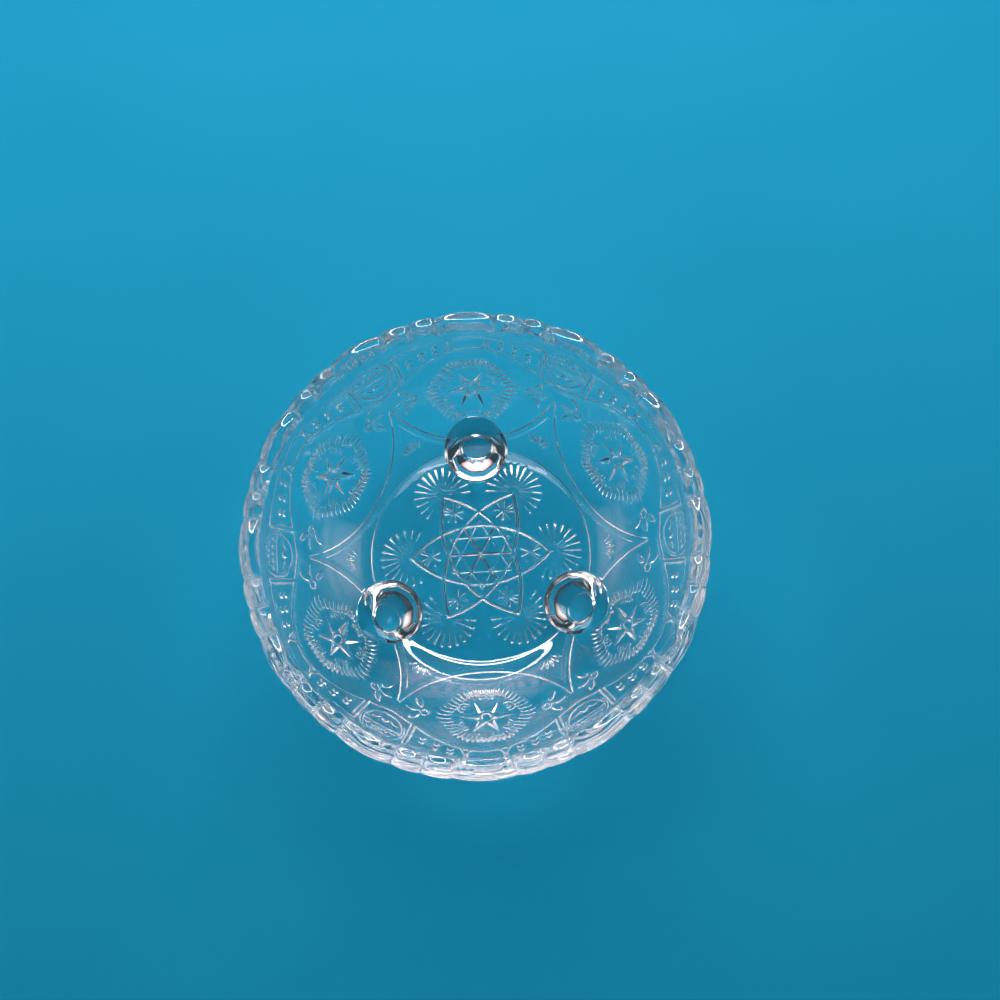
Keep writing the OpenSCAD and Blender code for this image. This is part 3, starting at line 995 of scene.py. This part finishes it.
@dataclass
class PegFoot:
    """Solid panelled foot under the edge of the base, with its toe splayed outwards."""

    node: str
    middle: Pair
    top_r: float
    turn: float
    toe_r: float = 7.5 * MM
    toe_shift: float = 6.5 * MM
    toe_round: float = 0.8 * MM
    peg_h: float = 16 * MM
    panels: int = 12
    panel_from: float = 0.4 * MM
    panel_full: float = 2.4 * MM
    softness: float = 0.55
    around: int = 288
    sole_shares: tuple[float, ...] = (0.35, 0.7, 1)
    round_rows: int = 5
    side_rows: int = 60
    cap_rows: int = 24

    def build(self, form: BowlForm, glass: Material, weld: Material) -> Object:
        """Makes the foot, up to the outer face of the bowl.

        Args:
            form: The bowl that it carries.
            glass: Material of its outside.
            weld: Material of the face that joins the bowl.

        Returns:
            The foot, riding on the part's body.
        """
        angle = np.linspace(0, 2 * math.pi, self.around, endpoint=False)
        sole_r = self.toe_r - self.toe_round
        profile = [(share * sole_r, 0) for share in self.sole_shares]
        for bend in np.linspace(0, math.pi / 2, self.round_rows + 1)[1:]:
            radius = sole_r + self.toe_round * math.sin(bend)
            profile.append((radius, self.toe_round * (1 - math.cos(bend))))
        top = self.ring(form, angle, self.top_r, None)[:, 2]
        for z in np.linspace(self.toe_round, top, self.side_rows + 1)[1:]:
            profile.append((self.side_radius(angle, z), z))
        joined = np.zeros((len(profile) + self.cap_rows - 2, self.around), bool)
        joined[len(profile) - 1 :] = True
        profile += [(self.top_r * (1 - k / self.cap_rows), None) for k in range(1, self.cap_rows)]
        rings = np.array([self.ring(form, angle, radius, z) for radius, z in profile])
        poles = [self.ring(form, np.zeros(1), 0, z)[0] for z in (0, None)]
        foot = Lathe(rings, *poles).build(self.node + "_glass", [glass, weld], joined)
        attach(foot, BODY)
        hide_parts(self.node)
        return foot

    def belly(self, z: Array) -> Array:
        """Share of the way from the toe to the collar that the rounded side has opened at a height."""
        return bow(self.peg_h - np.minimum(z, self.peg_h), self.peg_h)

    def side_radius(self, angle: Array, z: Array) -> Array:
        """Radius of the side: soft panels that open from the toe and end under the collar.

        Args:
            angle: Angle round the foot.
            z: Height above the table.

        Returns:
            Radius at each angle.
        """
        flat = self.toe_r + (self.top_r - self.toe_r) * self.belly(z)
        bend = fold(angle - self.turn, 2 * math.pi / self.panels)
        corner = (1 / np.cos(bend) - 1) * (1 - self.softness) * ramp(z, self.panel_from, self.panel_full)
        return np.minimum(flat * (1 + corner), self.top_r)

    def ring(self, form: BowlForm, angle: Array, radius: Array, z: Array | None) -> Array:
        """Ring of points about the foot's axis, which leans out towards the toe, kept inside the collar.

        Args:
            form: The bowl, whose outer face gives the height where none is given.
            angle: Angles of the points.
            radius: Radius of the ring.
            z: Height of the ring.

        Returns:
            One point for each angle.
        """
        shift = 0 if z is None else self.toe_shift * (1 - self.belly(z))
        x = radius * np.cos(angle) + shift * math.cos(self.turn)
        y = radius * np.sin(angle) + shift * math.sin(self.turn)
        inside = np.minimum(1, self.top_r / np.maximum(np.hypot(x, y), MM))
        x = self.middle[0] + x * inside
        y = self.middle[1] + y * inside
        height = form.underside(x, y) if z is None else z + 0 * x
        return np.stack([x, y, height], axis=-1)

    def distance(self, points: Array) -> Array:
        """Distance of points in plan from the middle of the foot's top."""
        return np.hypot(points[..., 0] - self.middle[0], points[..., 1] - self.middle[1])


@dataclass(frozen=True)
class LipArc:
    """One arc of the rim's section, between two leans of its face from straight up, in degrees."""

    radius: float
    start: float
    end: float


@dataclass
class GlassBowl:
    """The pressed bowl with all its raised ornament, as one closed mesh."""

    form: BowlForm
    feet: list[PegFoot]
    ornament: list[str]
    sector_columns: int = 216
    underside_rows: int = 170
    wall_rows: int = 240
    arc_rows: int = 14
    upright_rows: int = 8
    inside_rows: int = 56
    round_rows: int = 20
    floor_rows: int = 10
    ring_half: float = 1.0 * MM
    ring_h: float = 0.45 * MM
    lip_arcs: tuple[LipArc, ...] = (
        LipArc(0.9 * MM, -90, -20),
        LipArc(7.6 * MM, -20, 40),
        LipArc(1.2 * MM, 40, 90),
    )
    foot_gap: float = 0.3 * MM
    foot_fade: float = 1.0 * MM
    foot_snap: float = 0.22 * MM

    def build(self, glass: Material, weld: Material) -> Object:
        """Makes the bowl.

        Args:
            glass: Material of the whole surface.
            weld: Material of the faces that join the feet.

        Returns:
            The bowl, riding on the part's body.
        """
        azimuth = np.arange(self.sector_columns) * SECTOR / self.sector_columns
        plain, raised = (self.repeated(part) for part in self.outside(azimuth))
        for foot in self.feet:
            start = foot.top_r + self.foot_gap
            raised = raised * ramp(foot.distance(plain), start, start + self.foot_fade)[..., None]
        outer = plain + raised
        for foot in self.feet:
            outer = self.fitted(outer, foot)
        rings = np.concatenate([outer, self.repeated(self.lip_and_inside(azimuth))])
        poles = [np.array([0.0, 0.0, self.form.base_z + rise]) for rise in (0, self.form.floor)]
        sides = (rings + np.roll(rings, -1, axis=1)) / 2
        middles = (sides[:-1] + sides[1:]) / 2
        joined = np.zeros(middles.shape[:2], bool)
        outside = slice(0, len(outer) - 1)
        for foot in self.feet:
            joined[outside] |= foot.distance(middles[outside]) < foot.top_r
        bowl = Lathe(rings, *poles).build("bowl_glass", [glass, weld], joined)
        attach(bowl, BODY)
        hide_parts("bowl", *self.ornament)
        return bowl

    @staticmethod
    def repeated(sector: Array) -> Array:
        """Turns one sector's points round the axis into the whole ring.

        Args:
            sector: Rows of points of one sector.

        Returns:
            Rows of points all the way round.
        """
        parts = []
        for k in range(REPEATS):
            x, y = turned(sector[..., 0], sector[..., 1], -k * SECTOR)
            parts.append(np.stack([x, y, sector[..., 2]], axis=-1))
        return np.concatenate(parts, axis=1)

    def fitted(self, points: Array, foot: PegFoot) -> Array:
        """Moves the points nearest a foot's edge on to it, so that the weld has a clean outline.

        Args:
            points: Points of the outer face.
            foot: The foot.

        Returns:
            The points, with those near the edge moved along the face.
        """
        away = foot.distance(points)
        near = np.abs(away - foot.top_r) < self.foot_snap
        scale = np.where(near, foot.top_r / np.maximum(away, MM), 1)
        moved = points.copy()
        for axis, middle in enumerate(foot.middle):
            moved[..., axis] = middle + (points[..., axis] - middle) * scale
        level = self.form.underside(moved[..., 0], moved[..., 1])
        moved[..., 2] = np.where(near, level, points[..., 2])
        return moved

    def outside(self, azimuth: Array) -> tuple[Array, Array]:
        """Underside and outer wall of one sector.

        Args:
            azimuth: Azimuths of the columns, from a button to the next.

        Returns:
            Points of the plain face, and how far the ornament moves each.
        """
        form = self.form
        out = np.linspace(0, form.base_r, self.underside_rows + 1)[1:]
        flat_x = out[:, None] * np.cos(azimuth)
        flat_y = out[:, None] * np.sin(azimuth)
        flat = np.stack([flat_x, flat_y, np.full(flat_x.shape, form.base_z)], axis=-1)
        star = BaseStar().height(flat_x, flat_y)

        foot = form.angle(form.base_r)
        edge_r, edge_z = self.lip_edge(azimuth)
        lip = np.arctan2(edge_r, form.ball_z - edge_z)
        angle = np.linspace(foot, lip, self.wall_rows + 1)[1:]
        folded = unit(angle, np.abs(azimuth - SECTOR / 2))
        # Below the lip the upright flutes cut into the ball.
        wall = unit(angle, azimuth) * np.minimum(form.ball_r, edge_r / np.sin(angle))[..., None]
        wall[..., 2] += form.ball_z
        pieces = (Flower(), Button(), BeadBand(), Swags(), LeafSprigs(), SpandrelFans())
        relief = highest(*(piece.height(form, folded) for piece in pieces))

        # The ornament rises downward or outward, and the direction turns evenly over the base ring.
        from_edge = np.concatenate([
            np.broadcast_to(out[:, None] - form.base_r, flat_x.shape),
            (angle - foot) * form.ball_r,
        ])
        on_ring = np.abs(from_edge) < self.ring_half
        eased = np.clip((from_edge / self.ring_half + 1) / 2, 0, 1) * foot
        lean = np.where(on_ring, eased, np.concatenate([0 * flat_x, angle]))
        ring = self.ring_h * ramp(-np.abs(from_edge), -self.ring_half, 0)
        height = highest(np.concatenate([star, relief]), ring)
        return np.concatenate([flat, wall]), unit(lean, azimuth) * height[..., None]

    def lip_edge(self, azimuth: Array) -> tuple[Array, Array]:
        """Distance from the axis and height, in each column, of the edge where the rim's round starts."""
        fall, inset = self.form.scallops(azimuth)
        return self.form.rim_r - inset, self.form.rim_z - fall - max(z for _, z in self.lip_section())

    def lip_section(self) -> list[Pair]:
        """Places over the rim, as steps inward and upward from its outer edge.

        Returns:
            One place for each row of the three arcs.
        """
        section = [(0.0, 0.0)]
        for arc in self.lip_arcs:
            leans = np.radians(np.linspace(arc.start, arc.end, self.arc_rows + 1))
            inward = section[-1][0] + arc.radius * (np.sin(leans) - math.sin(leans[0]))
            upward = section[-1][1] + arc.radius * (np.cos(leans) - math.cos(leans[0]))
            section += zip(inward[1:], upward[1:])
        return section[1:]

    def lip_and_inside(self, azimuth: Array) -> Array:
        """Rounded rim, smooth inner wall, floor round and floor of one sector.

        Args:
            azimuth: Azimuths of the columns.

        Returns:
            Rings of points, from the outside of the rim to the middle of the floor.
        """
        form = self.form
        edge_r, edge_z = self.lip_edge(azimuth)
        mouth_r = form.rim_r - form.rim_t
        section = self.lip_section()
        width, inner_rise = section[-1]
        profile = [(edge_r + (mouth_r - edge_r) * x / width, edge_z + rise) for x, rise in section]
        inner_z = edge_z + inner_rise
        inner_r = form.ball_r - form.wall
        top = math.asin(mouth_r / inner_r)
        top_z = form.ball_z - inner_r * math.cos(top)
        for z in np.linspace(inner_z, top_z, self.upright_rows + 1)[1:-1]:
            profile.append((mouth_r, z))
        floor_z = form.base_z + form.floor
        round_r = form.floor_round
        blend = math.acos((form.ball_z - floor_z - round_r) / (inner_r - round_r))
        for angle in np.linspace(top, blend, self.inside_rows + 1):
            profile.append((inner_r * math.sin(angle), form.ball_z - inner_r * math.cos(angle)))
        round_x = (inner_r - round_r) * math.sin(blend)
        for angle in np.linspace(blend, 0, self.round_rows + 1)[1:]:
            profile.append((round_x + round_r * math.sin(angle), floor_z + round_r * (1 - math.cos(angle))))
        for out in np.linspace(round_x, 0, self.floor_rows + 1)[1:-1]:
            profile.append((out, floor_z))
        return np.array([
            np.stack([out * np.cos(azimuth), out * np.sin(azimuth), z + 0 * azimuth], axis=-1)
            for out, z in profile
        ])


@dataclass(frozen=True)
class Panel:
    """Upright glowing panel that faces the bowl, for the glass to mirror."""

    glow: GlowFinish
    place: Triple
    width: float
    height: float

    def build(self) -> None:
        """Stands the panel in its place."""
        w = self.width / 2
        h = self.height / 2
        corners = [(-w, 0, -h), (w, 0, -h), (w, 0, h), (-w, 0, h)]
        panel = sheet(self.glow.name, corners, [(0, 1, 2, 3)], self.glow.build_soft())
        panel.location = self.place
        panel.rotation_euler = (0, 0, math.atan2(self.place[1], self.place[0]) - math.pi / 2)
        panel.visible_camera = False


@dataclass(frozen=True)
class RingLamp:
    """Ring-shaped lamp over the bowl, seen only in gloss and glass."""

    glow: GlowFinish = GlowFinish("ring_light", (1, 0.95, 0.94), 26.0)
    place: Triple = (0.0, 0.31, 0.34)
    radius: float = 0.165
    half_w: float = 0.012
    columns: int = 96

    def build(self) -> None:
        """Hangs the lamp, facing the bowl."""
        count = self.columns
        points = []
        for radius in (self.radius - self.half_w, self.radius + self.half_w):
            for angle in np.linspace(0, 2 * math.pi, count, endpoint=False):
                points.append((radius * math.cos(angle), radius * math.sin(angle), 0))
        faces = [(k, count + k, count + (k + 1) % count, (k + 1) % count) for k in range(count)]
        ring = sheet(self.glow.name, points, faces, self.glow.build())
        ring.location = self.place
        ring.rotation_euler = (math.atan2(-self.place[1], self.place[2]), 0, 0)
        ring.visible_camera = False
        ring.visible_diffuse = False
        ring.visible_shadow = False


@dataclass(frozen=True)
class Softbox:
    """Square soft light that faces the bowl."""

    name: str = "key"
    place: Triple = (0.0, 0.75, 0.80)
    size: float = 0.9
    watts: float = 8.6
    colour: Triple = (1.0, 0.96, 0.95)

    def build(self) -> None:
        """Hangs the light in its place."""
        light = bpy.data.lights.new(self.name, "AREA")
        light.size = self.size
        light.energy = self.watts
        light.color = self.colour
        x, y, z = self.place
        obj = linked(self.name, light)
        obj.visible_glossy = False
        obj.location = self.place
        obj.rotation_euler = (math.atan2(math.hypot(x, y), z), 0, math.atan2(y, x) + math.pi / 2)


@dataclass(frozen=True)
class Studio:
    """Floor, soft lights and the camera."""

    camera_at: Triple = (0.01970, -0.05870, 0.47360)
    camera_turn: Triple = (10.35, 1.74, -2.81)
    lens: float = 36.0
    sensor: float = 36.0
    near_clip: float = 0.01
    floor_half: float = 6.0
    floor_gap: float = 0.05 * MM
    panels: tuple[Panel, ...] = (
        Panel(GlowFinish("rear_panel", (1.0, 0.60, 0.61), 3.6), (0.0, 0.9, 0.28), 1.3, 0.50),
        Panel(GlowFinish("left_panel", (1.0, 0.84, 0.82), 2.0), (-0.80, 0.15, 0.50), 0.6, 0.90),
        Panel(GlowFinish("right_panel", (1.0, 0.84, 0.82), 2.0), (0.80, 0.15, 0.50), 0.6, 0.90),
    )
    horizon: Triple = (0.025, 0.05, 0.065)
    zenith: Triple = (0.03, 0.04, 0.05)
    bounces: int = 32

    def build(self) -> None:
        """Sets up the whole studio."""
        self.floor()
        RingLamp().build()
        for panel in self.panels:
            panel.build()
        self.world()
        Softbox().build()
        self.camera()
        self.light_paths()
        bpy.context.scene.view_settings.view_transform = "Standard"

    def floor(self) -> None:
        """Lays the floor under the toes."""
        h = self.floor_half
        z = -self.floor_gap
        corners = [(-h, -h, z), (h, -h, z), (h, h, z), (-h, h, z)]
        floor = sheet("floor", corners, [(0, 1, 2, 3)], FloorFinish().build())

    def world(self) -> None:
        """Surrounds the object with dim light that changes slowly from the horizon to straight up."""
        world = bpy.data.worlds.new("studio")
        bpy.context.scene.world = world
        world.use_nodes = True
        nodes = world.node_tree.nodes
        place = nodes.new("ShaderNodeTexCoord")
        split = nodes.new("ShaderNodeSeparateXYZ")
        tone = colour_mix(nodes, self.horizon, self.zenith)
        connect(
            world.node_tree,
            (place, "Generated", split, "Vector"),
            (split, "Z", tone, "Factor"),
            (tone, "Result", nodes["Background"], "Color"),
        )

    def light_paths(self) -> None:
        """Lets light pass through as many faces as the thick glass has."""
        for kind in ("max", "transmission", "glossy", "transparent_max"):
            setattr(bpy.context.scene.cycles, kind + "_bounces", self.bounces)

    def camera(self) -> None:
        """Sets the camera at the photograph's viewing angle."""
        data = bpy.data.cameras.new("camera")
        data.lens = self.lens
        data.sensor_width = self.sensor
        data.clip_start = self.near_clip
        camera = linked("camera", data)
        camera.location = self.camera_at
        camera.rotation_euler = Euler([math.radians(turn) for turn in self.camera_turn], "XYZ")
        bpy.context.scene.camera = camera


def feet_from_frame() -> list[PegFoot]:
    """Reads the three feet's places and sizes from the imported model.

    Returns:
        The feet.
    """
    feet = []
    for node in ("foot_rear", "foot_left", "foot_right"):
        low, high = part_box(node)
        middle = ((low[0] + high[0]) / 2, (low[1] + high[1]) / 2)
        turn = math.atan2(middle[1], middle[0])
        feet.append(PegFoot(node, middle, (high[0] - low[0]) / 2, turn))
    return feet


def main() -> None:
    """Builds the bowl, the feet and the studio."""
    logging.basicConfig(level=logging.INFO, format="%(message)s")
    surface = mould_surface()
    bowl_glass = GlassFinish("bowl_glass").build(surface)
    foot_glass = GlassFinish("foot_glass", wave_scale=90.0).build(surface)
    weld = WeldFinish().build()
    low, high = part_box("bowl")
    form = BowlForm(rim_r=(high[0] - low[0]) / 2, rim_z=high[2], base_z=low[2])
    feet = feet_from_frame()
    held = {"bowl", *(foot.node for foot in feet)}
    ornament = sorted(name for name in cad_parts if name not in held)
    bowl = GlassBowl(form, feet, ornament).build(bowl_glass, weld)
    LOG.info("%s: %d faces", bowl.name, len(bowl.data.polygons))
    for foot in feet:
        piece = foot.build(form, foot_glass, weld)
        LOG.info("%s: %d faces", piece.name, len(piece.data.polygons))
    Studio().build()
    bpy.context.view_layer.update()


if __name__ == "__main__":
    main()
